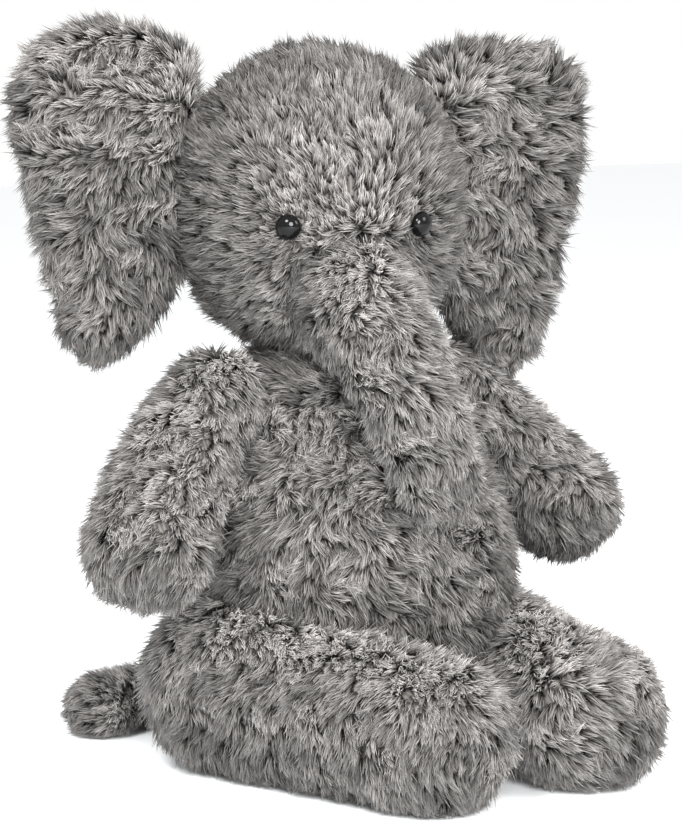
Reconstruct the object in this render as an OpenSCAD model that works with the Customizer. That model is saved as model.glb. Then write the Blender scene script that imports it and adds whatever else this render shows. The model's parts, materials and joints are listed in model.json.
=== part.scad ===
// Stuffed elephant sitting up, cut and sewn from long-pile fabric over a soft filling.
// It faces -Y and sits on z = 0. The origin is under the middle of the torso.

/* [Torso] */
// Height of the torso from the seat to the neck seam
torso_height = 163; // [160:1:164]
// Half of the width at the widest level
torso_half_width = 63; // [60:1:63]
// Half of the depth at the widest level
torso_half_depth = 66; // [64:1:66]

/* [Head] */
// Half of the head's width, cheek to cheek
head_half_width = 56; // [54:1:57]
// Half of the head's depth, brow to back
head_half_depth = 49; // [47:1:50]
// Half of the head's height
head_half_height = 58; // [56:1:59]
// Height of the head's middle
head_middle = 225; // [224:1:230]
// How far the sewn head looks towards its own right, in degrees
head_turn = 17; // [0:1:20]
// How far the head sits to the right of the torso's middle
head_shift = 6; // [0:1:6]

/* [Eyes] */
// Diameter of the domed safety eye
eye_diameter = 10; // [9:0.5:12]
// Distance between the two eyes' stems
eye_spacing = 54; // [53:1:58]

/* [Ears] */
// Height of an ear
ear_height = 134; // [128:1:138]
// Width of an ear, from its seam to its outer edge
ear_width = 66; // [62:1:68]
// Thickness of an ear at its middle
ear_thickness = 21; // [16:1:22]
// How far the ears sweep back, in degrees
ear_sweep = 0; // [-5:1:10]
// How much lower the left ear is sewn than the right one
ear_left_drop = 7; // [0:1:8]

/* [Trunk] */
// Radius of the trunk where it leaves the face
trunk_root_radius = 22; // [21:0.5:23]
// Radius of the trunk at its blunt end
trunk_tip_radius = 13; // [12:0.5:14]

/* [Arms] */
// Radius of an arm at the shoulder
arm_root_radius = 17; // [16:0.5:17]
// Radius of an arm at the paw
arm_paw_radius = 20.5; // [19:0.5:21]

/* [Legs] */
// Radius of a thigh round the hip
thigh_radius = 34; // [32:0.5:34]
// Radius of a leg between the thigh and the foot
ankle_radius = 28; // [26:0.5:29]
// Radius of a foot
foot_radius = 27; // [26:0.5:30]

/* [Tail] */
// Radius of the tail at its root
tail_root_radius = 9; // [8:0.5:9]
// Radius of the tail at its tufted end
tail_tip_radius = 11.5; // [9:0.5:12]

/* [Fabric] */
// Thickness of the backing cloth with its shorn seam allowance
cloth = 1.8; // [1.5:0.1:2]
// Gap that keeps parts which move on each other apart
clearance = 0.8; // [0.6:0.1:1]

/* [Hidden] */
plush_grey = "#8f8c88";
fill_white = "#e8e6e0";
far = 400;
sides = 18;
liner = cloth + 0.3;

// Torso levels: share of the height, of the half width, of the half depth, and shift along Y
torso_levels = [
    [0.00, 0.72, 0.74, -8], [0.04, 0.86, 0.88, -9], [0.14, 0.96, 0.97, -12],
    [0.32, 1.00, 1.00, -14], [0.50, 1.00, 0.98, -14], [0.66, 0.96, 0.90, -11],
    [0.80, 0.77, 0.69, -4], [0.92, 0.59, 0.53, 1], [0.985, 0.41, 0.35, 3], [1.00, 0.28, 0.24, 3]
];
belly_seam_y = 6;

// Pivots of the sewn joints, the left one of each pair
shoulder = [54, 0, 147];
hip = [53, -12, thigh_radius + 0.5];
tail_root = [0, 56, 17];
trunk_root = [0, -42, 187];
ear_seam = [56, 9, head_middle];

// Where each limb ends, seen from its pivot
paw = [106, -27, 91];
foot = [36, -126, foot_radius + 0.5];
trunk_bend = [-3, -98, 178];
trunk_end = [24, -81, 115];
tail_bend = [-10, 94, 13];
tail_end = [-64, 74, tail_tip_radius + 0.5];

// Eyes sit on the front of the head
eye_drop = 9;
eye_forward = 44.4;
stem_radius = 1.6;
stem_length = 14;

function unit(v) = v / norm(v);
function mix(a, b, t) = a + (b - a) * t;
function bezier(a, b, c, t) = mix(mix(a, b, t), mix(b, c, t), t);
function heading(a, b, c, t) = unit(mix(b - a, c - b, t));

// One elliptical ring about c, square to the direction w
function ring(c, w, a, b, up) =
    let (u = unit(cross(up, w)), v = cross(w, u))
    [for (k = [0 : sides - 1]) c + a * cos(360 * k / sides) * u + b * sin(360 * k / sides) * v];

// Closed solid through a list of rings, with a pole at each end
module loft(rings, first_pole, last_pole) {
    levels = len(rings);
    last = levels * sides + 1;
    points = concat([first_pole], [for (r = rings) for (p = r) p], [last_pole]);
    first_fan = [for (k = [0 : sides - 1]) [0, 1 + k, 1 + (k + 1) % sides]];
    walls = [
        for (i = [0 : levels - 2]) for (k = [0 : sides - 1])
        let (a = 1 + i * sides + k, b = 1 + i * sides + (k + 1) % sides)
        for (face = [[a, a + sides, b + sides], [a, b + sides, b]]) face
    ];
    top = 1 + (levels - 1) * sides;
    last_fan = [for (k = [0 : sides - 1]) [last, top + (k + 1) % sides, top + k]];
    polyhedron(points = points, faces = concat(first_fan, walls, last_fan));
}

// A limb: a round root about its pivot, a tapering curve, and a blunt end.
// Radii are the root's, the middle's and the end's; up is any way off the limb's line.
module limb(start, bend, end, radii, blunt, up, inset = 0) {
    steps = 6;
    first = heading(start, bend, end, 0);
    last = heading(start, bend, end, 1);
    r0 = radii[0] - inset;
    r2 = radii[2] - inset;
    tip = blunt - inset;
    function radius(t) = mix(mix(radii[0], radii[1], t), mix(radii[1], radii[2], t), t) - inset;
    root_cap = [
        for (a = [-60 : 30 : -30]) ring(start + first * r0 * sin(a), first, r0 * cos(a), r0 * cos(a), up)
    ];
    body = [
        for (i = [0 : steps]) let (t = i / steps)
        ring(bezier(start, bend, end, t), heading(start, bend, end, t), radius(t), radius(t), up)
    ];
    end_cap = [
        for (a = [30, 60]) ring(end + last * tip * sin(a), last, r2 * cos(a), r2 * cos(a), up)
    ];
    loft(concat(root_cap, body, end_cap), start - first * r0, end + last * tip);
}

// Skin of a soft shape: child 0 is its outside and child 1 its inside
module skin() {
    difference() {
        children(0);
        children(1);
    }
}

// Half spaces that cut a skin into its panels
module above_z(z) { translate([-far, -far, z]) cube([2 * far, 2 * far, far]); }
module below_z(z) { translate([-far, -far, z - far]) cube([2 * far, 2 * far, far]); }
module front_of_y(y) { translate([-far, y - far, -far]) cube([2 * far, far, 2 * far]); }
module behind_y(y) { translate([-far, y, -far]) cube([2 * far, far, 2 * far]); }
module left_of_x(x) { translate([x, -far, -far]) cube([far, 2 * far, 2 * far]); }
module right_of_x(x) { translate([x - far, -far, -far]) cube([far, 2 * far, 2 * far]); }

// Turns a left-hand piece into the right-hand one
module to_right() { mirror([1, 0, 0]) children(); }

// Places head pieces, which are drawn looking along -Y, at the head's sewn turn and shift
module turned() { translate([-head_shift, 0, 0]) rotate([0, 0, -head_turn]) children(); }

// Torso: a pear that stands on a flat base
module torso_solid(inset = 0) {
    rings = [
        for (level = torso_levels)
        ring(
            [0, level[3], inset + level[0] * (torso_height - 2 * inset)], [0, 0, 1],
            level[2] * torso_half_depth - inset, level[1] * torso_half_width - inset, [1, 0, 0]
        )
    ];
    loft(rings, [0, torso_levels[0][3], inset], [0, torso_levels[9][3], torso_height - inset]);
}

// Hollows in the torso that the limbs' round roots sit in. The hip's is a little
// larger than the leg path that joins it, so that the two surfaces cross cleanly,
// and the shoulder's also clears the arm just past its root.
room_margin = 0.5;
shoulder_margin = 3;
module limb_rooms(extra = 0) {
    for (side = [-1, 1]) {
        translate([side * shoulder[0], shoulder[1], shoulder[2]])
            sphere(r = arm_root_radius + clearance + shoulder_margin + extra, $fn = 40);
        translate([side * hip[0], hip[1], hip[2]])
            sphere(r = thigh_radius + clearance + room_margin + extra, $fn = 48);
    }
    translate(tail_root) sphere(r = tail_root_radius + clearance + extra, $fn = 32);
}

module torso_skin() {
    difference() {
        skin() { torso_solid(); torso_solid(cloth); }
        limb_rooms();
        leg_paths();
    }
}

// Room that a leg takes beside the belly, straight ahead and splayed out
leg_splays = [0, 30];
module leg_paths(extra = 0) {
    for (side = [0, 1], splay = leg_splays)
        mirror([side, 0, 0]) translate(hip) rotate([0, 0, splay]) translate(-hip) leg_solid(-clearance - extra);
}

module belly_panel() {
    color(plush_grey) intersection() { torso_skin(); front_of_y(belly_seam_y); above_z(cloth); }
}

module back_panel() {
    intersection() { torso_skin(); behind_y(belly_seam_y); above_z(cloth); left_of_x(0); }
}

module back_left_panel() { color(plush_grey) difference() { back_panel(); label_solid(0.1); } }
module back_right_panel() { color(plush_grey) to_right() back_panel(); }

module base_panel() {
    color(plush_grey) intersection() { torso_skin(); below_z(cloth); }
}

module torso_stuffing() {
    color(fill_white) difference() {
        torso_solid(liner);
        limb_rooms(cloth);
        leg_paths(cloth);
        bean_pouch_solid(0.3);
        label_solid(0.3);
    }
}

// Bean pouch: a low round bag of pellets that weights the seat
pouch_radius = 14;
pouch_height = 22;
pouch_place = [0, 14, 5];
module bean_pouch_solid(extra = 0) {
    translate(pouch_place + [0, 0, pouch_height / 2]) intersection() {
        sphere(r = pouch_radius + extra, $fn = 48);
        cube([60, 60, pouch_height + 2 * extra], center = true);
    }
}

module bean_pouch() { color("#d9d3c5") bean_pouch_solid(); }

// Care label: a blank folded ribbon whose root is caught in the left back seam
label_size = [0.8, 18, 11];
label_place = [24, 41, 56];
label_turn = -30;
module label_solid(extra = 0) {
    translate(label_place) rotate([0, 0, label_turn])
        translate([-extra, -extra, -extra]) cube(label_size + [2, 2, 2] * extra);
}

module care_label() { color("white") label_solid(); }

// Head: a round crown over fuller cheeks
head_levels = 9;
jowl_power = 0.72;
module head_solid(inset = 0) {
    rings = [
        for (i = [1 : head_levels - 1])
        let (
            a = -90 + 180 * i / head_levels,
            reach = pow(cos(a), a < 0 ? jowl_power : 1)
        )
        ring(
            [0, -4, head_middle + (head_half_height - inset) * sin(a)], [0, 0, 1],
            (head_half_depth - inset) * reach, (head_half_width - inset) * reach, [1, 0, 0]
        )
    ];
    loft(rings, [0, -4, head_middle - head_half_height + inset], [0, -4, head_middle + head_half_height - inset]);
}

// Hollows in the head for the trunk's round root, for the trunk as it lifts past
// the brow, and for the ears' seam edges
trunk_lifts = [12, 24, 35];
ear_edge_radius = 9.5;
module head_rooms(extra = 0) {
    translate(trunk_root) sphere(r = trunk_root_radius + clearance + room_margin + extra, $fn = 40);
    for (lift = trunk_lifts)
        translate(trunk_root) rotate([-lift, 0, 0]) translate(-trunk_root) trunk_solid(-clearance - extra);
    for (side = [-1, 1])
        translate([side * ear_seam[0], ear_seam[1], head_middle - 60])
            cylinder(r = ear_edge_radius + extra, h = 120, $fn = 32);
}

module head_skin() {
    difference() {
        skin() { head_solid(); head_solid(cloth); }
        head_rooms();
        for (side = [-1, 1]) eye_frame(side) cylinder(r = stem_radius + 0.3, h = 40, center = true, $fn = 24);
    }
}

gusset_half_width = 20;
module head_gusset() {
    color(plush_grey) turned() intersection() {
        head_skin();
        left_of_x(-gusset_half_width);
        right_of_x(gusset_half_width);
    }
}

module head_left_panel() { color(plush_grey) turned() intersection() { head_skin(); left_of_x(gusset_half_width); } }
module head_right_panel() {
    color(plush_grey) turned() intersection() { head_skin(); right_of_x(-gusset_half_width); }
}

module head_stuffing() {
    color(fill_white) turned() difference() {
        head_solid(liner);
        head_rooms(cloth);
        for (side = [-1, 1]) eye_frame(side)
            translate([0, 0, -stem_length - 4]) cylinder(r = washer_radius + 0.5, h = stem_length + 10, $fn = 32);
    }
}

// Safety eye: a glossy dome on a ribbed stem, held behind the cloth by a lock washer.
// Its own +Z points out of the face.
eye_radius = eye_diameter / 2;
washer_radius = 5;
washer_thickness = 1.2;
eye_height = 3.4;
rim_top = 1.2;
rim_height = 0.8;
module eye_frame(side) {
    outward = [side * eye_spacing / 2, -eye_forward, 0];
    translate([side * eye_spacing / 2, -eye_forward - 2.2, head_middle - eye_drop])
        rotate([90 + eye_tilt, 0, atan2(outward[0], -outward[1]) * 0.9]) children();
}

eye_tilt = 8;
module eye() {
    dome_radius = (eye_radius * eye_radius + eye_height * eye_height) / (2 * eye_height);
    rotate_extrude($fn = 64) {
        intersection() {
            translate([0, rim_top + eye_height - dome_radius]) circle(r = dome_radius, $fn = 64);
            translate([0, rim_top]) square([eye_radius, eye_height + 1]);
        }
        translate([0, rim_top - rim_height]) square([eye_radius, rim_height + 0.01]);
        translate([0, -stem_length]) square([stem_radius - 0.3, stem_length + rim_top]);
        for (i = [1 : 6]) translate([0, -stem_length + 1.6 * i]) square([stem_radius, 0.5]);
    }
}

module lock_washer() {
    translate([0, 0, -washer_seat]) difference() {
        cylinder(r = washer_radius, h = washer_thickness, $fn = 40);
        translate([0, 0, -1]) cylinder(r = stem_radius + 0.05, h = washer_thickness + 2, $fn = 24);
    }
}

washer_seat = 5.2;
module eye_left() { color("#0c0c0d") turned() eye_frame(1) eye(); }
module eye_right() { color("#0c0c0d") turned() eye_frame(-1) eye(); }
module eye_left_washer() { color("white") turned() eye_frame(1) lock_washer(); }
module eye_right_washer() { color("white") turned() eye_frame(-1) lock_washer(); }

// Trunk: leaves the face, hangs in front of the belly and ends blunt
trunk_mid_radius = 16.5;
trunk_blunt = 9;
module trunk_solid(inset = 0) {
    limb(
        trunk_root, trunk_bend, trunk_end,
        [trunk_root_radius, trunk_mid_radius, trunk_tip_radius], trunk_blunt, [1, 0, 0], inset
    );
}

module trunk_skin() { skin() { trunk_solid(); trunk_solid(cloth); } }

// The end disc is parted from the rest by a plane square to the trunk's end
module trunk_end_cut() {
    last = heading(trunk_root, trunk_bend, trunk_end, 1);
    translate(trunk_end + last * 3)
        rotate([0, acos(last[2]), atan2(last[1], last[0])])
        translate([-30, -30, 0]) cube([60, 60, 60]);
}

// The upper and the under panel meet along the trunk's two sides
module trunk_over() {
    translate([-60, 0, 0]) rotate([90, 0, 90]) linear_extrude(height = 120)
        polygon([[0, 180], [-60, 177], [-80, 155], [-82, 90], [-160, 90], [-160, 260], [0, 260]]);
}

module trunk_top_panel() {
    color(plush_grey) turned() difference() {
        intersection() { trunk_skin(); trunk_over(); }
        trunk_end_cut();
    }
}

module trunk_under_panel() {
    color(plush_grey) turned() difference() {
        trunk_skin();
        trunk_over();
        trunk_end_cut();
    }
}

module trunk_tip_panel() { color(plush_grey) turned() intersection() { trunk_skin(); trunk_end_cut(); } }
module trunk_stuffing() { color(fill_white) turned() trunk_solid(liner); }

// Ear levels: share of the height, then inner edge and outer edge as shares of the width
ear_levels = [
    [0.04, 0.36, 0.60], [0.12, 0.17, 0.70], [0.26, -0.02, 0.76], [0.42, -0.12, 0.84],
    [0.58, -0.12, 0.92], [0.72, -0.14, 0.97], [0.84, -0.16, 0.96], [0.93, -0.08, 0.87], [0.98, 0.12, 0.69]
];
ear_base = head_middle - 66;

// Drawn for the left ear with its seam at the origin and its width along +X
module ear_shape(inset = 0) {
    function thickness(s) = ear_thickness / 2 * pow(1 - pow(abs(2 * s - 1), 4), 0.5);
    rings = [
        for (level = ear_levels)
        let (
            inner = level[1] * ear_width + inset,
            outer = level[2] * ear_width - inset,
            z = ear_base + inset + level[0] * (ear_height - 2 * inset)
        )
        ring([(inner + outer) / 2, 0, z], [0, 0, 1], thickness(level[0]) - inset * 0.8, (outer - inner) / 2, [1, 0, 0])
    ];
    middle = 0.46 * ear_width;
    loft(rings, [middle, 0, ear_base + inset], [middle, 0, ear_base + ear_height - inset]);
}

module ear_place() {
    translate([ear_seam[0], ear_seam[1], 0]) rotate([0, 0, ear_sweep]) children();
}

module ear_front() {
    ear_place() intersection() { skin() { ear_shape(); ear_shape(cloth); } front_of_y(0); }
}

module ear_back() {
    ear_place() intersection() { skin() { ear_shape(); ear_shape(cloth); } behind_y(0); }
}

module ear_fill() { ear_place() ear_shape(liner); }
module lowered() { translate([0, 0, -ear_left_drop]) children(); }

module ear_left_front_panel() { color(plush_grey) turned() lowered() ear_front(); }
module ear_left_back_panel() { color(plush_grey) turned() lowered() ear_back(); }
module ear_left_padding() { color(fill_white) turned() lowered() ear_fill(); }
module ear_right_front_panel() { color(plush_grey) turned() to_right() ear_front(); }
module ear_right_back_panel() { color(plush_grey) turned() to_right() ear_back(); }
module ear_right_padding() { color(fill_white) turned() to_right() ear_fill(); }

// Arms: sewn at the shoulders and hanging out and down
arm_mid_radius = 19.2;
arm_blunt = 15;
arm_bend = [84, -8, 122];
module arm_solid(inset = 0) {
    limb(shoulder, arm_bend, paw, [arm_root_radius, arm_mid_radius, arm_paw_radius], arm_blunt, [0, 1, 0], inset);
}

// The seam of an arm runs in a plane through its middle
module arm_outside() {
    along = unit(paw - shoulder);
    out = unit([along[2], 0, -along[0]]);
    translate(shoulder) rotate([0, atan2(out[0], out[2]), 0]) translate([-far, -far, -far]) cube([2 * far, 2 * far, far]);
}

module arm_panel(outer) {
    if (outer) intersection() { skin() { arm_solid(); arm_solid(cloth); } arm_outside(); }
    else difference() { skin() { arm_solid(); arm_solid(cloth); } arm_outside(); }
}

module arm_left_outer_panel() { color(plush_grey) arm_panel(true); }
module arm_left_inner_panel() { color(plush_grey) arm_panel(false); }
module arm_left_stuffing() { color(fill_white) arm_solid(liner); }
module arm_right_outer_panel() { color(plush_grey) to_right() arm_panel(true); }
module arm_right_inner_panel() { color(plush_grey) to_right() arm_panel(false); }
module arm_right_stuffing() { color(fill_white) to_right() arm_solid(liner); }

// Legs: thighs round the hips, reaching forward along the floor to blunt feet
foot_blunt = 17;
leg_bend = [46, -66, ankle_radius + 1.5];
module leg_solid(inset = 0) {
    limb(hip, leg_bend, foot, [thigh_radius, ankle_radius, foot_radius], foot_blunt, [0, 0, 1], inset);
}

module leg_skin() { skin() { leg_solid(); leg_solid(cloth); } }

sole_seam = 8;
module sole_cut() {
    last = heading(hip, leg_bend, foot, 1);
    translate(foot + last * sole_seam) rotate([90, 0, atan2(last[0], -last[1])])
        translate([-60, -60, 0]) cube([120, 120, 60]);
}

module leg_panel(outer) {
    difference() {
        leg_skin();
        sole_cut();
        if (outer) leg_inside();
        else leg_outside();
    }
}

module leg_seam_frame() {
    along = foot - hip;
    translate(hip) rotate([0, 0, atan2(along[0], -along[1])]) children();
}

module leg_inside() { leg_seam_frame() right_of_x(0); }
module leg_outside() { leg_seam_frame() left_of_x(0); }
module sole_panel() { intersection() { leg_skin(); sole_cut(); } }

module leg_left_outer_panel() { color(plush_grey) leg_panel(true); }
module leg_left_inner_panel() { color(plush_grey) leg_panel(false); }
module sole_left_panel() { color(plush_grey) sole_panel(); }
module leg_left_stuffing() { color(fill_white) leg_solid(liner); }
module leg_right_outer_panel() { color(plush_grey) to_right() leg_panel(true); }
module leg_right_inner_panel() { color(plush_grey) to_right() leg_panel(false); }
module sole_right_panel() { color(plush_grey) to_right() sole_panel(); }
module leg_right_stuffing() { color(fill_white) to_right() leg_solid(liner); }

// Tail: a stub that lies on the floor and curls round to the right, with a thick blunt end
tail_mid_radius = 8.5;
tail_blunt = 8;
module tail_solid(inset = 0) {
    limb(
        tail_root, tail_bend, tail_end,
        [tail_root_radius, tail_mid_radius, tail_tip_radius], tail_blunt, [0, 0, 1], inset
    );
}

// The seams of the tail run level along its two sides
module above_tail_seam() { above_z(tail_tip_radius + 1); }

module tail_upper_panel() {
    color(plush_grey) intersection() { skin() { tail_solid(); tail_solid(cloth); } above_tail_seam(); }
}

module tail_under_panel() {
    color(plush_grey) difference() { skin() { tail_solid(); tail_solid(cloth); } above_tail_seam(); }
}

module tail_stuffing() { color(fill_white) tail_solid(liner); }

belly_panel();
back_left_panel();
back_right_panel();
base_panel();
torso_stuffing();
bean_pouch();
care_label();
head_left_panel();
head_right_panel();
head_gusset();
head_stuffing();
eye_left();
eye_right();
eye_left_washer();
eye_right_washer();
trunk_top_panel();
trunk_under_panel();
trunk_tip_panel();
trunk_stuffing();
ear_left_front_panel();
ear_left_back_panel();
ear_left_padding();
ear_right_front_panel();
ear_right_back_panel();
ear_right_padding();
arm_left_outer_panel();
arm_left_inner_panel();
arm_left_stuffing();
arm_right_outer_panel();
arm_right_inner_panel();
arm_right_stuffing();
leg_left_outer_panel();
leg_left_inner_panel();
sole_left_panel();
leg_left_stuffing();
leg_right_outer_panel();
leg_right_inner_panel();
sole_right_panel();
leg_right_stuffing();
tail_upper_panel();
tail_under_panel();
tail_stuffing();
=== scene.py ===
# Stuffed elephant: sewn skins, long pile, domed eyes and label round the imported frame.
# Everything is in metres, in the frame's own axes. The elephant faces -Y.
import json
import math

import bmesh
import bpy
import numpy as np
from mathutils import Matrix, Vector
from mathutils.bvhtree import BVHTree


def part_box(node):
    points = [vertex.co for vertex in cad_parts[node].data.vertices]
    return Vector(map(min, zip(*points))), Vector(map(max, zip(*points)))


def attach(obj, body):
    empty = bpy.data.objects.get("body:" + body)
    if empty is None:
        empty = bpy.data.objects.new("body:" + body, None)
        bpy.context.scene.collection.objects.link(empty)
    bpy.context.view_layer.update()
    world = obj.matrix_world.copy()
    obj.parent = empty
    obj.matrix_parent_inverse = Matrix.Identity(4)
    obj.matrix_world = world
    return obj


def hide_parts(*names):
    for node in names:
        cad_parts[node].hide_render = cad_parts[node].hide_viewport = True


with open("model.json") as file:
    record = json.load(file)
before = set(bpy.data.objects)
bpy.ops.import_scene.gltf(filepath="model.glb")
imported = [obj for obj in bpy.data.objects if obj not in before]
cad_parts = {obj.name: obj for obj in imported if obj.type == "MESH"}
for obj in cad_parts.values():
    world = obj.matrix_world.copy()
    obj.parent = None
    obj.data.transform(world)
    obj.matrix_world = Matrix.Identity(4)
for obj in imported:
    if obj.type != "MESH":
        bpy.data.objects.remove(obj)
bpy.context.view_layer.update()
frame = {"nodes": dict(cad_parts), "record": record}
mm = 0.001
bodies = frame["record"]["behaviour"]["bodies"]
jointOf = {joint["child"]: joint for joint in frame["record"]["behaviour"]["joints"]}
panelEndings = ("_panel", "_gusset")
fillingEndings = ("_stuffing", "_padding")


def panelsOf(body):
    return [node for node in bodies[body] if node.endswith(panelEndings)]


def fillingOf(body):
    return [node for node in bodies[body] if node.endswith(fillingEndings)]


def middleOf(*nodes):
    low = Vector([min(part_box(node)[0][i] for node in nodes) for i in range(3)])
    high = Vector([max(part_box(node)[1][i] for node in nodes) for i in range(3)])
    return (low + high) / 2


def pivotOf(body):
    return Vector(jointOf[body]["pos_m"])


headPivot = pivotOf("head")
eyeMiddle = (middleOf("eye_left") + middleOf("eye_right")) / 2
lookWay = Vector((eyeMiddle.x - headPivot.x, eyeMiddle.y - headPivot.y, 0)).normalized()
up = Vector((0, 0, 1))


def addObject(name, mesh):
    piece = bpy.data.objects.new(name, mesh)
    bpy.context.scene.collection.objects.link(piece)
    return piece


def meshFromBmesh(name, bm):
    mesh = bpy.data.meshes.new(name)
    bm.to_mesh(mesh)
    bm.free()
    return mesh


def smoothShaded(piece):
    piece.data.shade_smooth()
    return piece


def cadCopy(nodes):
    # the frame's own meshes, joined and with their loose triangles merged
    bm = bmesh.new()
    for node in nodes:
        bm.from_mesh(frame["nodes"][node].data)
    bmesh.ops.remove_doubles(bm, verts=bm.verts, dist=0.01 * mm)
    return bm


def treeOf(nodes):
    bm = cadCopy(nodes)
    tree = BVHTree.FromBMesh(bm)
    bm.free()
    return tree


def treeOfPiece(piece):
    bm = bmesh.new()
    bm.from_mesh(piece.data)
    tree = BVHTree.FromBMesh(bm)
    bm.free()
    return tree


def applied(piece):
    # the piece with its modifiers baked into its mesh
    graph = bpy.context.evaluated_depsgraph_get()
    mesh = bpy.data.meshes.new_from_object(piece.evaluated_get(graph))
    old = piece.data
    piece.modifiers.clear()
    piece.data = mesh
    bpy.data.meshes.remove(old)
    return piece


def coordsOf(mesh):
    co = np.empty(len(mesh.vertices) * 3, np.float32)
    mesh.vertices.foreach_get("co", co)
    return co.reshape(-1, 3).astype(np.float64)


def setCoords(mesh, co):
    mesh.vertices.foreach_set("co", co.astype(np.float32).ravel())
    mesh.update()


def lengths(rows):
    return np.maximum(np.linalg.norm(rows, axis=1, keepdims=True), 1e-9)


def unitRows(rows):
    return rows / lengths(rows)


# Materials

def linearColour(hexColour):
    channels = [int(hexColour[i:i + 2], 16) / 255 for i in (1, 3, 5)]
    return tuple(c / 12.92 if c <= 0.04045 else ((c + 0.055) / 1.055) ** 2.4 for c in channels) + (1.0,)


def addNode(material, kind, settings=None, links=None):
    # one node with its settings and links; a link's value is (node, output name)
    node = material.node_tree.nodes.new(kind)
    for key, value in (settings or {}).items():
        if isinstance(key, int) or key in node.inputs:
            node.inputs[key].default_value = value
        else:
            setattr(node, key, value)
    for key, (source, output) in (links or {}).items():
        material.node_tree.links.new(source.outputs[output], node.inputs[key])
    return node


def newMaterial(name):
    material = bpy.data.materials.new(name)
    material.use_nodes = True
    material.node_tree.nodes.clear()
    return material


def finishMaterial(material, shader):
    addNode(material, "ShaderNodeOutputMaterial", {}, {"Surface": (shader, "BSDF")})
    return material


def setRamp(ramp, stops):
    elements = ramp.color_ramp.elements
    while len(elements) < len(stops):
        elements.new(0.5)
    for element, (place, colour) in zip(elements, stops):
        element.position = place
        element.color = linearColour(colour)


pileLook = dict(
    # strand colour from root to tip: painted shade at the roots and painted light on the tips, around the
    # grey of the dye
    stops=[(0.0, "#171616"), (0.38, "#393735"), (0.70, "#6a6765"), (1.0, "#aaa7a4")],
    shadeLow=0.40, shadeHigh=1.50,   # from the darkest strand to the palest
    patch=38 * mm,                   # size of the paler and darker patches in the dyed cloth
)


def makePileMaterial():
    # Polyester long-pile plush, dyed grey: painted shade near black at the roots, between the locks, and
    # painted light on the pale tips, where they catch light
    material = newMaterial("polyesterPile")
    along = addNode(material, "ShaderNodeAttribute", {"attribute_name": "along"})
    tone = addNode(material, "ShaderNodeAttribute", {"attribute_name": "tone"})
    # painted shade at the roots and painted light at the tips, by height along the strand
    ramp = addNode(material, "ShaderNodeValToRGB", {}, {"Fac": (along, "Fac")})
    setRamp(ramp, pileLook["stops"])
    coords = addNode(material, "ShaderNodeTexCoord")
    patches = addNode(material, "ShaderNodeTexNoise", {"Scale": 1 / pileLook["patch"], "Detail": 2.0},
                      {"Vector": (coords, "Object")})
    blend = addNode(material, "ShaderNodeMath", {"operation": "MULTIPLY_ADD", 1: 0.30, 2: -0.15},
                    {0: (patches, "Fac")})
    mixed = addNode(material, "ShaderNodeMath", {"operation": "ADD"},
                    {0: (tone, "Fac"), 1: (blend, "Value")})
    shade = addNode(material, "ShaderNodeMapRange",
                    {"To Min": pileLook["shadeLow"], "To Max": pileLook["shadeHigh"]},
                    {"Value": (mixed, "Value")})
    colour = addNode(material, "ShaderNodeVectorMath", {"operation": "SCALE"},
                     {0: (ramp, "Color"), "Scale": (shade, "Result")})
    shader = addNode(material, "ShaderNodeBsdfPrincipled",
                     {"Roughness": 0.68, "IOR": 1.5, "Specular IOR Level": 0.20},
                     {"Base Color": (colour, "Vector")})
    return finishMaterial(material, shader)


waveScale = 0.16  # a wave texture at this over a spacing repeats about once every two spacings
backingLook = dict(thread=0.9 * mm, dark="#4a4744", pale="#676360")


def makeBackingMaterial():
    # Knitted polyester backing under the pile: fine ribs, only seen as dark depth between strands
    material = newMaterial("knittedBacking")
    coords = addNode(material, "ShaderNodeTexCoord")
    knit = addNode(material, "ShaderNodeTexWave",
                   {"Scale": waveScale / backingLook["thread"], "Distortion": 1.5, "Detail": 1.0},
                   {"Vector": (coords, "Object")})
    ramp = addNode(material, "ShaderNodeValToRGB", {}, {"Fac": (knit, "Fac")})
    setRamp(ramp, [(0.1, backingLook["dark"]), (0.9, backingLook["pale"])])
    bump = addNode(material, "ShaderNodeBump", {"Strength": 0.4, "Distance": 0.2 * mm},
                   {"Height": (knit, "Fac")})
    shader = addNode(material, "ShaderNodeBsdfPrincipled", {"Roughness": 0.9, "IOR": 1.5},
                     {"Base Color": (ramp, "Color"), "Normal": (bump, "Normal")})
    return finishMaterial(material, shader)


def makeResinMaterial():
    # Injection-moulded polystyrene eye: near black and mirror smooth, with a trace of polishing haze
    material = newMaterial("mouldedEyeResin")
    coords = addNode(material, "ShaderNodeTexCoord")
    haze = addNode(material, "ShaderNodeTexNoise", {"Scale": 1 / (1.5 * mm), "Detail": 3.0},
                   {"Vector": (coords, "Object")})
    rough = addNode(material, "ShaderNodeMapRange", {"To Min": 0.03, "To Max": 0.10},
                    {"Value": (haze, "Fac")})
    ramp = addNode(material, "ShaderNodeValToRGB", {}, {"Fac": (haze, "Fac")})
    setRamp(ramp, [(0.3, "#060607"), (0.8, "#0e0d0d")])
    shader = addNode(material, "ShaderNodeBsdfPrincipled", {"IOR": 1.5, "Specular IOR Level": 0.18},
                     {"Base Color": (ramp, "Color"), "Roughness": (rough, "Result")})
    return finishMaterial(material, shader)


def makeNylonMaterial():
    # Natural nylon lock washer: milky, with the faint flow marks of moulding
    material = newMaterial("mouldedNylon")
    coords = addNode(material, "ShaderNodeTexCoord")
    flow = addNode(material, "ShaderNodeTexNoise", {"Scale": 1 / (2 * mm), "Detail": 2.0},
                   {"Vector": (coords, "Object")})
    ramp = addNode(material, "ShaderNodeValToRGB", {}, {"Fac": (flow, "Fac")})
    setRamp(ramp, [(0.3, "#dcdad2"), (0.7, "#efeee8")])
    shader = addNode(material, "ShaderNodeBsdfPrincipled", {"Roughness": 0.4, "IOR": 1.53},
                     {"Base Color": (ramp, "Color")})
    return finishMaterial(material, shader)


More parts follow.
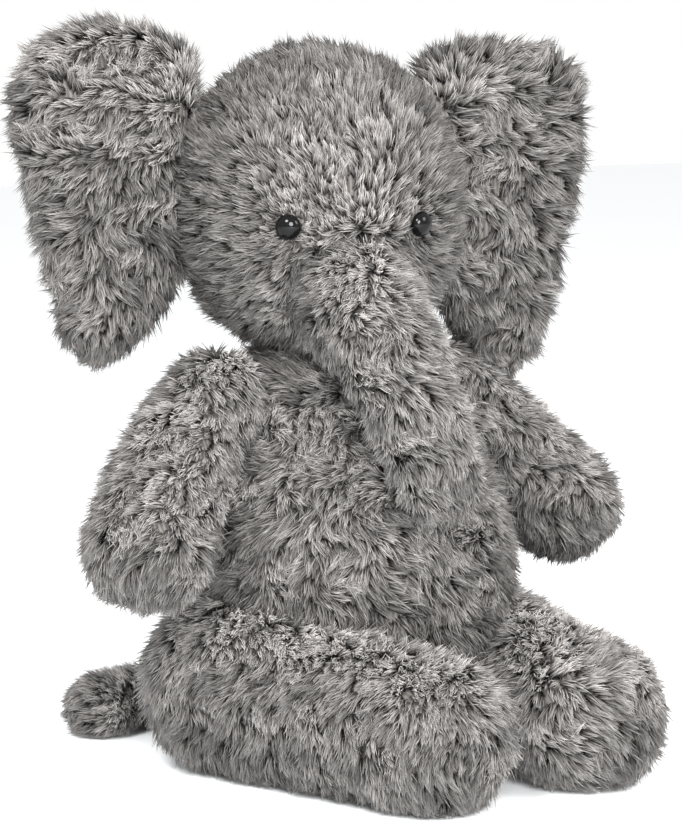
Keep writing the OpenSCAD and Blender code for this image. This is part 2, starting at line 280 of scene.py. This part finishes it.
def makeWovenMaterial(name, thread, dark, pale, roughness, sheen):
    # Plain-woven cloth: two sets of threads cross at right angles
    material = newMaterial(name)
    coords = addNode(material, "ShaderNodeTexCoord")
    waves = [addNode(material, "ShaderNodeTexWave", {"Scale": waveScale / thread, "bands_direction": way},
                     {"Vector": (coords, "Object")}) for way in ("X", "Z")]
    cross = addNode(material, "ShaderNodeMath", {"operation": "MULTIPLY"},
                    {0: (waves[0], "Fac"), 1: (waves[1], "Fac")})
    ramp = addNode(material, "ShaderNodeValToRGB", {}, {"Fac": (cross, "Value")})
    setRamp(ramp, [(0.0, dark), (0.8, pale)])
    bump = addNode(material, "ShaderNodeBump", {"Strength": 0.3, "Distance": 0.1 * mm},
                   {"Height": (cross, "Value")})
    shader = addNode(material, "ShaderNodeBsdfPrincipled",
                     {"Roughness": roughness, "IOR": 1.5, "Sheen Weight": sheen},
                     {"Base Color": (ramp, "Color"), "Normal": (bump, "Normal")})
    return finishMaterial(material, shader)


pileMaterial = makePileMaterial()
backingMaterial = makeBackingMaterial()
resinMaterial = makeResinMaterial()
nylonMaterial = makeNylonMaterial()
# satin ribbon, threads drawn at 0.4 mm because real ones are too fine to show
ribbonMaterial = makeWovenMaterial("wovenSatinRibbon", 0.4 * mm, "#d9d8d4", "#f3f2ee", 0.45, 0.3)
canvasMaterial = makeWovenMaterial("cottonPouchCloth", 0.8 * mm, "#b9b2a2", "#ddd7c9", 0.85, 0.1)

skinShape = dict(
    voxel=4.5 * mm,      # size of the cells that join a body's panels into one closed cloth
    swell=1.2 * mm,      # closes the gaps between the panels and the filling before they are joined
    smoothing=4,
    inset=1.2 * mm,      # the cloth starts this much inside its panels
    pressure=4.0,        # weak at this size: it moves the cloth by less than a millimetre
    pinFrom=0.45,        # seam nearness from which a point is held still
    quality=4,
    mostMove=3.0 * mm,   # cap on the cloth's movement, which it doesn't reach
    seamReach=4.5 * mm,
    seamDepth=1.2 * mm,
    floorGap=0.6 * mm,
    frames=20,
    fill=0.75,
)


def keepLargest(bm):
    seen, groups = set(), []
    for start in bm.verts:
        if start in seen:
            continue
        group, front = [], [start]
        seen.add(start)
        while front:
            vert = front.pop()
            group.append(vert)
            for edge in vert.link_edges:
                other = edge.other_vert(vert)
                if other not in seen:
                    seen.add(other)
                    front.append(other)
        groups.append(group)
    groups.sort(key=len, reverse=True)
    for group in groups[1:]:
        bmesh.ops.delete(bm, geom=group, context="VERTS")


def wrapBody(body):
    bm = cadCopy(panelsOf(body) + fillingOf(body))
    bm.normal_update()
    for vert in bm.verts:
        vert.co += vert.normal * skinShape["swell"]
    piece = addObject(body + ".skin", meshFromBmesh(body + "Skin", bm))
    wrap = piece.modifiers.new("wrap", "REMESH")
    wrap.mode = "VOXEL"
    wrap.voxel_size = skinShape["voxel"]
    wrap.use_smooth_shade = True
    applied(piece)
    bm = bmesh.new()
    bm.from_mesh(piece.data)
    keepLargest(bm)
    for step in range(skinShape["smoothing"]):
        bmesh.ops.smooth_vert(bm, verts=bm.verts, factor=0.5,
                              use_axis_x=True, use_axis_y=True, use_axis_z=True)
    bm.normal_update()
    for vert in bm.verts:
        vert.co -= vert.normal * skinShape["inset"]
    bm.to_mesh(piece.data)
    bm.free()
    return piece


def panelDistances(body, co):
    rows = []
    for panel in panelsOf(body):
        tree = treeOf([panel])
        rows.append([tree.find_nearest(Vector(point))[3] for point in co])
    return np.array(rows)


def seamNearness(body, co):
    # 1 on a seam between two panels, falling to 0 at seamReach from it
    near = np.sort(panelDistances(body, co), axis=0)
    if len(near) < 2:
        return np.zeros(len(co))
    return np.clip(1 - (near[1] - near[0]) / skinShape["seamReach"], 0, 1)


def addStuffing(piece, body):
    near = seamNearness(body, coordsOf(piece.data))
    seams = piece.vertex_groups.new(name="seams")
    for index, value in enumerate(near):
        if value > skinShape["pinFrom"]:
            seams.add([index], 1.0, "REPLACE")
    cloth = piece.modifiers.new("cloth", "CLOTH")
    cloth.settings.use_pressure = True
    cloth.settings.uniform_pressure_force = skinShape["pressure"]
    cloth.settings.vertex_group_mass = "seams"
    cloth.settings.quality = skinShape["quality"]
    cloth.settings.effector_weights.gravity = 0
    cloth.point_cache.frame_start = 1
    cloth.point_cache.frame_end = skinShape["frames"]


def finishSkin(piece, body, start):
    applied(piece)
    move = coordsOf(piece.data) - start
    move *= np.minimum(1, skinShape["mostMove"] / lengths(move))
    setCoords(piece.data, start + move)
    piece.vertex_groups.clear()
    rounder = piece.modifiers.new("rounder", "SUBSURF")
    rounder.levels = rounder.render_levels = 1
    applied(piece)
    co = coordsOf(piece.data)
    normals = normalsOf(piece.data)
    near = seamNearness(body, co)[:, None]
    co -= normals * near * near * (3 - 2 * near) * skinShape["seamDepth"]
    co[:, 2] = np.maximum(co[:, 2], skinShape["floorGap"])
    setCoords(piece.data, co)
    smoothShaded(piece)
    piece.data.materials.append(backingMaterial)
    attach(piece, body)
    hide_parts(*fillingOf(body))
    return piece


def normalsOf(mesh):
    rows = np.empty(len(mesh.vertices) * 3, np.float32)
    mesh.vertex_normals.foreach_get("vector", rows)
    return rows.reshape(-1, 3).astype(np.float64)


skins = {body: wrapBody(body) for body in bodies}
starts = {body: coordsOf(skins[body].data) for body in bodies}
for body in bodies:
    addStuffing(skins[body], body)
for number in range(1, skinShape["frames"] + 1):
    bpy.context.scene.frame_set(number)
for body in bodies:
    finishSkin(skins[body], body, starts[body])
bpy.context.scene.frame_set(1)
skinPoints = sum(len(skin.data.vertices) for skin in skins.values())
print("skins:", len(skins), "closed skins,", skinPoints, "vertices")

pileShape = dict(
    seed=41,
    share=0.56,              # share of the skin's points that carry a lock
    strands=13,              # strands in a lock
    underStrands=4,          # fewer where the pile is pressed on the floor or in a crease
    length=9.5 * mm,
    thick=0.36 * mm,         # half a strand's width; real fibres are finer, this is as fine as shows
    spread=1.9 * mm,         # a lock's width at its root
    gather=0.34,             # how much of that width is left at its tip
    bury=0.8 * mm,           # how deep the roots start in the cloth
    curl=20,                 # degrees that a strand leans over between its root and its tip
    fray=0.8 * mm,
    floorGap=0.5 * mm,
    roomHeight=14 * mm,      # how far out the pile looks for another body
    eyeClear=4.7 * mm,
    eyeReach=11 * mm,
)

# Each body's nap: where it is combed away from, how much it hangs, how far it leans, how it swirls
napOf = dict(
    torso=dict(source=(0.0, -0.050, 0.158), away=1.0, droop=0.35, lean=58, swirl=48, length=1.0),
    head=dict(source=tuple(headPivot + lookWay * 60 * mm + up * 38 * mm), away=1.0, droop=0.0, lean=57,
              swirl=18, length=0.88),
    trunk=dict(source=tuple(pivotOf("trunk") + up * 6 * mm), away=1.0, droop=0.45, lean=56,
               swirl=34, length=0.9),
    tail=dict(source=tuple(pivotOf("tail")), away=1.0, droop=0.1, lean=55, swirl=20, length=0.8),
)
for side in ("left", "right"):
    napOf["ear_" + side] = dict(source=tuple(pivotOf("ear_" + side) + up * 30 * mm), away=1.0, droop=0.35,
                                lean=56, swirl=46, length=1.02)
    napOf["arm_" + side] = dict(source=tuple(pivotOf("arm_" + side) + up * 12 * mm), away=1.0, droop=0.5,
                                lean=57, swirl=38, length=1.0)
    napOf["leg_" + side] = dict(source=tuple(pivotOf("leg_" + side) + up * 30 * mm), away=0.6, droop=1.1,
                                lean=56, swirl=34, length=0.98)


def wavesOf(seed, wavelength, count=7):
    # a smooth random field: the sum of a few plane waves, from about -1 to 1
    chance = np.random.default_rng(seed)
    way = chance.normal(size=(count, 3))
    way = unitRows(way) * (2 * math.pi / wavelength) * chance.uniform(0.7, 1.4, (count, 1))
    phase = chance.uniform(0, 2 * math.pi, count)
    return lambda rows: np.sin(rows @ way.T + phase).sum(axis=1) / math.sqrt(count)


slowSwirl = wavesOf(3, 75 * mm)
quickSwirl = wavesOf(4, 22 * mm)
leanWaves = wavesOf(5, 16 * mm)
toneWaves = wavesOf(6, 12 * mm)


def flatTo(rows, normals):
    return rows - normals * (rows * normals).sum(axis=1, keepdims=True)


def turnedAbout(rows, axes, angles):
    c, s = np.cos(angles)[:, None], np.sin(angles)[:, None]
    return rows * c + np.cross(axes, rows) * s


def roomAt(body, roots, normals, trees):
    # how much height the pile has before it meets another body's skin
    most = pileShape["roomHeight"]
    room = np.full(len(roots), most)
    for other, tree in trees.items():
        if other == body:
            continue
        for index, (root, normal) in enumerate(zip(roots, normals)):
            start = Vector(root) + Vector(normal) * 0.1 * mm
            hit = tree.ray_cast(start, Vector(normal), room[index])
            if hit[0] is not None:
                room[index] = min(room[index], hit[3])
    return room / most


def eyeAxis(node):
    # a domed eye's middle and the way it faces, from its solid
    co = coordsOf(frame["nodes"][node].data)
    middle = co.mean(axis=0)
    way = np.linalg.svd(co - middle, full_matrices=False)[2][0]
    if way @ np.array(lookWay) < 0:
        way = -way
    return Vector(middle), Vector(way), float(((co - middle) @ way).max())


eyes = {node: eyeAxis(node) for node in ("eye_left", "eye_right")}


def locksOn(body, trees, chance):
    mesh = skins[body].data
    roots, normals = coordsOf(mesh), normalsOf(mesh)
    chosen = chance.random(len(roots)) < pileShape["share"]
    roots, normals = roots[chosen], normals[chosen]
    side = unitRows(flatTo(chance.normal(size=roots.shape), normals))
    roots = roots + side * chance.uniform(0, 1.1 * mm, (len(roots), 1))
    nap = napOf[body]
    away = unitRows(roots - np.array(nap["source"]))
    comb = nap["away"] * away + nap["droop"] * np.array([0.0, 0.0, -1.0])
    comb = unitRows(flatTo(comb, normals) + 0.12 * side)
    swirl = math.radians(nap["swirl"])
    turn = slowSwirl(roots) * swirl * 0.8 + quickSwirl(roots) * swirl + chance.normal(size=len(roots)) * 0.22
    comb = turnedAbout(comb, normals, turn)
    lean = nap["lean"] + 13 * leanWaves(roots) + chance.normal(size=len(roots)) * 6
    size = nap["length"] * (1 + 0.10 * slowSwirl(roots) + chance.normal(size=len(roots)) * 0.08)
    keep = np.ones(len(roots), bool)
    if body == "head":
        for middle, way, top in eyes.values():
            offset = roots - np.array(middle)
            flat = offset - np.outer(offset @ np.array(way), np.array(way))
            reach = np.linalg.norm(flat, axis=1)
            near = np.clip(1 - (reach - pileShape["eyeClear"]) / pileShape["eyeReach"], 0, 1)
            near *= (offset @ np.array(way)) > -12 * mm
            keep &= ~((reach < pileShape["eyeClear"]) & (near > 0))
            comb = unitRows(comb + 1.2 * near[:, None] * unitRows(flatTo(flat, normals)))
            size *= 1 - 0.42 * near
            lean += 8 * near
    room = roomAt(body, roots, normals, trees)
    lean = lean + (86 - lean) * np.clip(1 - room * 1.6, 0, 1)
    size = size * np.clip(0.35 + room * 1.1, 0, 1)
    pressed = (room < 0.30) | ((roots[:, 2] < 2.5 * mm) & (normals[:, 2] < -0.5))
    tone = np.clip(0.5 + 0.16 * toneWaves(roots) + chance.normal(size=len(roots)) * 0.18, 0, 1)
    locks = dict(root=roots, normal=normals, comb=comb, lean=np.radians(np.clip(lean, 20, 87)),
                 size=size * pileShape["length"], tone=tone, pressed=pressed)
    return {key: value[keep] for key, value in locks.items()}


def strandTemplate():
    # one strand: three sides, widest a third of the way up, pointed at both ends
    bm = bmesh.new()
    for low, high, rootRadius, tipRadius in ((0.0, 0.38, 0.0, 1.0), (0.38, 1.0, 1.0, 0.0)):
        bmesh.ops.create_cone(bm, cap_ends=False, segments=3, radius1=rootRadius, radius2=tipRadius,
                              depth=high - low, matrix=Matrix.Translation((0, 0, (low + high) / 2)))
    bmesh.ops.remove_doubles(bm, verts=bm.verts, dist=0.001)
    bmesh.ops.triangulate(bm, faces=bm.faces)
    bmesh.ops.recalc_face_normals(bm, faces=bm.faces)
    bm.verts.index_update()
    points = np.array([vert.co[:] for vert in bm.verts])
    faces = np.array([[vert.index for vert in face.verts] for face in bm.faces])
    bm.free()
    return points, faces


strandPoints, strandFaces = strandTemplate()


def growPile(name, locks, chance):
    counts = np.where(locks["pressed"], pileShape["underStrands"], pileShape["strands"])
    pick = np.repeat(np.arange(len(counts)), counts)
    total = len(pick)
    root, normal, comb = locks["root"][pick], locks["normal"][pick], locks["comb"][pick]
    across = np.cross(normal, comb)
    lean = locks["lean"][pick] + np.radians(chance.normal(size=total) * 6)
    stray = chance.random(total) < 0.07
    lean = np.where(stray, lean * 0.6, lean)
    length = locks["size"][pick] * chance.uniform(0.72, 1.08, total) * np.where(stray, 1.1, 1.0)
    angle = chance.uniform(0, 2 * math.pi, total)
    radius = pileShape["spread"] * np.sqrt(chance.random(total))
    offset = comb * (radius * np.cos(angle))[:, None] + across * (radius * np.sin(angle))[:, None]
    gather = pileShape["gather"] * np.where(stray, 2.0, 1.0)[:, None]
    fray = chance.normal(size=(total, 3)) * pileShape["fray"] * 0.4

    def reachAt(share, tilt):
        tilted = lean + math.radians(tilt)
        return (share * length)[:, None] * (normal * np.cos(tilted)[:, None] + comb * np.sin(tilted)[:, None])

    start = root + offset - normal * pileShape["bury"]
    middle = root + offset * 0.9 + reachAt(0.42, -pileShape["curl"])
    tip = root + offset * gather + reachAt(1.0, 0) + fray
    for rows in (middle, tip):
        rows[:, 2] = np.maximum(rows[:, 2], pileShape["floorGap"] + chance.random(total) * 1.2 * mm)
    line = unitRows(tip - start)
    firstSide = unitRows(flatTo(chance.normal(size=(total, 3)), line))
    otherSide = np.cross(line, firstSide)
    thick = pileShape["thick"] * chance.uniform(0.75, 1.25, total)

    points = np.empty((total, len(strandPoints), 3))
    for index, (x, y, share) in enumerate(strandPoints):
        # a curve through the strand's root, middle and tip
        rootPart = (1 - share) * (0.42 - share) / 0.42
        middlePart = share * (1 - share) / (0.42 * 0.58)
        tipPart = share * (share - 0.42) / 0.58
        centre = start * rootPart + middle * middlePart + tip * tipPart
        points[:, index] = centre + (firstSide * x + otherSide * y) * thick[:, None]
    points = points.reshape(-1, 3)
    points[:, 2] = np.maximum(points[:, 2], pileShape["floorGap"])
    faces = (strandFaces[None] + (np.arange(total) * len(strandPoints))[:, None, None]).reshape(-1)

    mesh = bpy.data.meshes.new(name)
    mesh.vertices.add(len(points))
    mesh.loops.add(len(faces))
    mesh.polygons.add(len(faces) // 3)
    mesh.vertices.foreach_set("co", points.astype(np.float32).ravel())
    mesh.loops.foreach_set("vertex_index", faces.astype(np.int32))
    mesh.polygons.foreach_set("loop_start", np.arange(0, len(faces), 3, dtype=np.int32))
    along = mesh.attributes.new("along", "FLOAT", "POINT")
    along.data.foreach_set("value", np.tile(strandPoints[:, 2], total).astype(np.float32))
    tone = mesh.attributes.new("tone", "FLOAT", "POINT")
    shade = np.clip(locks["tone"][pick] + chance.normal(size=total) * 0.16, 0, 1)
    tone.data.foreach_set("value", np.repeat(shade, len(strandPoints)).astype(np.float32))
    mesh.update(calc_edges=True)
    mesh.shade_smooth()
    mesh.materials.append(pileMaterial)
    return addObject(name, mesh)


skinTrees = {body: treeOfPiece(skins[body]) for body in bodies}
strandTotal = 0
for number, body in enumerate(bodies):
    chance = np.random.default_rng(pileShape["seed"] + number)
    locks = locksOn(body, skinTrees, chance)
    panels = panelsOf(body)
    owner = panelDistances(body, locks["root"]).argmin(axis=0)
    for index, panel in enumerate(panels):
        mine = {key: value[owner == index] for key, value in locks.items()}
        if not len(mine["root"]):
            print("no pile on", panel)
            continue
        pile = growPile(panel + ".pile", mine, chance)
        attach(pile, body)
        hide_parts(panel)
        strandTotal += len(pile.data.polygons) // len(strandFaces)
        print("pile on", panel, len(mine["root"]), "locks", len(pile.data.polygons), "faces")
print("pile:", strandTotal, "strands")

eyeShape = dict(radius=5.0 * mm, dome=3.5 * mm, rim=0.8 * mm, stem=1.3 * mm, stemLength=15 * mm, segments=48)


def makeEye(node):
    # a domed cap with a rounded rim on a stem that goes through the cloth
    bm = bmesh.new()
    bmesh.ops.create_uvsphere(bm, u_segments=eyeShape["segments"], v_segments=32, radius=eyeShape["radius"])
    bmesh.ops.bisect_plane(bm, geom=bm.verts[:] + bm.edges[:] + bm.faces[:], plane_co=(0, 0, 0),
                           plane_no=(0, 0, 1), clear_inner=True, dist=0.001 * mm)
    bmesh.ops.scale(bm, verts=bm.verts, vec=(1, 1, eyeShape["dome"] / eyeShape["radius"]))
    border = [edge for edge in bm.edges if edge.is_boundary]
    skirt = bmesh.ops.extrude_edge_only(bm, edges=border)
    lower = [item for item in skirt["geom"] if isinstance(item, bmesh.types.BMVert)]
    bmesh.ops.translate(bm, verts=lower, vec=(0, 0, -eyeShape["rim"]))
    floorEdges = [edge for edge in bm.edges if edge.is_boundary]
    bmesh.ops.contextual_create(bm, geom=floorEdges)
    rim = [edge for edge in bm.edges
           if all(abs(vert.co.z + eyeShape["rim"]) < 0.01 * mm for vert in edge.verts)]
    bmesh.ops.bevel(bm, geom=rim, offset=0.25 * mm, offset_type="OFFSET", segments=3, profile=0.5,
                    affect="EDGES", material=-1)
    stemMiddle = -eyeShape["rim"] - eyeShape["stemLength"] / 2
    bmesh.ops.create_cone(bm, cap_ends=True, segments=20,
                          radius1=eyeShape["stem"] * 0.8, radius2=eyeShape["stem"],
                          depth=eyeShape["stemLength"],
                          matrix=Matrix.Translation((0, 0, stemMiddle + 0.1 * mm)))
    bmesh.ops.recalc_face_normals(bm, faces=bm.faces)
    middle, way, top = eyes[node]
    seat = Matrix.Translation(middle + way * (top - eyeShape["dome"]))
    place = seat @ way.to_track_quat("Z", "Y").to_matrix().to_4x4()
    bmesh.ops.transform(bm, matrix=place, verts=bm.verts)
    piece = smoothShaded(addObject(node + ".dome", meshFromBmesh(node + "Dome", bm)))
    piece.data.materials.append(resinMaterial)
    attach(piece, "head")
    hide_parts(node)
    return piece


for node in eyes:
    makeEye(node)
for node in ("eye_left_washer", "eye_right_washer"):
    washer = frame["nodes"][node]
    washer.data.materials.clear()
    washer.data.materials.append(nylonMaterial)
print("eyes:", len(eyes), "domed eyes and their washers")

labelShape = dict(length=18 * mm, height=11 * mm, fold=0.45 * mm, thickness=0.2 * mm)


def makeLabel():
    # a ribbon folded in half, with its cut ends in the seam and its fold outwards
    co = coordsOf(frame["nodes"]["care_label"].data)
    middle = co.mean(axis=0)
    out = np.linalg.svd(co - middle, full_matrices=False)[2][0]
    out = out if out[1] > 0 else -out
    outWay = Vector((out[0], out[1], 0)).normalized()
    flatWay = outWay.cross(up)
    low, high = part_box("care_label")
    bm = bmesh.new()
    bmesh.ops.create_grid(bm, x_segments=48, y_segments=8, size=1)
    fold, length = labelShape["fold"], labelShape["length"]
    bend = math.pi * fold / 2
    for vert in bm.verts:
        run = vert.co.x * (length + bend)
        turn = max(-1.0, min(1.0, run / bend)) * math.pi / 2
        along = length / 2 - fold + fold * math.cos(turn)
        along -= max(0.0, abs(run) - bend) * (length - fold) / length
        wave = 0.35 * mm * math.sin(vert.co.y * 2.2 + along * 160)
        aside = fold * math.sin(turn) + wave
        vert.co = (Vector(((low.x + high.x) / 2, (low.y + high.y) / 2, (low.z + high.z) / 2))
                   + outWay * along + flatWay * aside + up * vert.co.y * labelShape["height"] / 2)
    bmesh.ops.recalc_face_normals(bm, faces=bm.faces)
    piece = smoothShaded(addObject("careLabel", meshFromBmesh("careLabel", bm)))
    thick = piece.modifiers.new("thick", "SOLIDIFY")
    thick.thickness = labelShape["thickness"]
    thick.offset = 0
    applied(piece)
    piece.data.materials.append(ribbonMaterial)
    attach(piece, "torso")
    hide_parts("care_label")


def makePouch():
    # a sewn bag of pellets: flattened, pulled in at its seam and lumpy
    low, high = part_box("bean_pouch")
    size = (high - low) / 2
    bm = bmesh.new()
    bmesh.ops.create_uvsphere(bm, u_segments=48, v_segments=28, radius=1)
    lumps = wavesOf(9, 0.55)
    bumps = lumps(np.array([vert.co[:] for vert in bm.verts]))
    for vert, bump in zip(bm.verts, bumps):
        seam = math.exp(-(vert.co.z / 0.10) ** 2)
        swell = 0.94 + 0.05 * bump - 0.05 * seam
        vert.co = Vector((vert.co.x * size.x * swell, vert.co.y * size.y * swell,
                          math.copysign(abs(vert.co.z) ** 0.8, vert.co.z) * size.z * swell))
    bmesh.ops.translate(bm, verts=bm.verts, vec=(low + high) / 2)
    piece = smoothShaded(addObject("beanPouch", meshFromBmesh("beanPouch", bm)))
    piece.data.materials.append(canvasMaterial)
    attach(piece, "torso")
    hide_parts("bean_pouch")


makeLabel()
makePouch()
print("label and pouch made")

cameraPlace = dict(azimuth=-37.0, elevation=6.5, distance=1.45, lens=155.8, aim=(0.000, -0.010, 0.1365))


def cameraBack(azimuth, elevation):
    a, e = math.radians(azimuth), math.radians(elevation)
    return Vector((math.sin(a) * math.cos(e), -math.cos(a) * math.cos(e), math.sin(e)))


cameraData = bpy.data.cameras.new("camera")
cameraData.lens = cameraPlace["lens"]
cameraData.sensor_fit = "VERTICAL"
cameraData.sensor_height = 36
camera = bpy.data.objects.new("camera", cameraData)
bpy.context.scene.collection.objects.link(camera)
back = cameraBack(cameraPlace["azimuth"], cameraPlace["elevation"])
camera.location = Vector(cameraPlace["aim"]) + back * cameraPlace["distance"]
camera.rotation_euler = back.to_track_quat("Z", "Y").to_euler()
bpy.context.scene.camera = camera

lightPlaces = dict(
    key=dict(place=(-1.30, -0.80, 1.30), size=0.6, watts=42.0),
    front=dict(place=(-0.70, -1.50, 0.60), size=0.8, watts=54.0),
    side=dict(place=(0.80, -1.40, 1.00), size=0.8, watts=18.0),
)
for name, light in lightPlaces.items():
    lamp = bpy.data.lights.new(name, "AREA")
    lamp.shape = "DISK"
    lamp.size = light["size"]
    lamp.energy = light["watts"]
    holder = bpy.data.objects.new(name, lamp)
    bpy.context.scene.collection.objects.link(holder)
    holder.location = light["place"]
    aim = Vector((0, -0.02, 0.14)) - Vector(light["place"])
    holder.rotation_euler = aim.to_track_quat("-Z", "Y").to_euler()

world = bpy.data.worlds.new("studio")
world.use_nodes = True
world.node_tree.nodes["Background"].inputs["Color"].default_value = (1, 1, 1, 1)
world.node_tree.nodes["Background"].inputs["Strength"].default_value = 1.0
bpy.context.scene.world = world
bpy.context.scene.view_settings.view_transform = "Standard"

floorBm = bmesh.new()
bmesh.ops.create_grid(floorBm, x_segments=1, y_segments=1, size=4)
floor = addObject("floor", meshFromBmesh("floor", floorBm))
floorMaterial = newMaterial("paintedStudioFloor")
finishMaterial(floorMaterial, addNode(floorMaterial, "ShaderNodeBsdfPrincipled",
                                      {"Base Color": linearColour("#f4f6f7"), "Roughness": 0.7}))
floor.data.materials.append(floorMaterial)
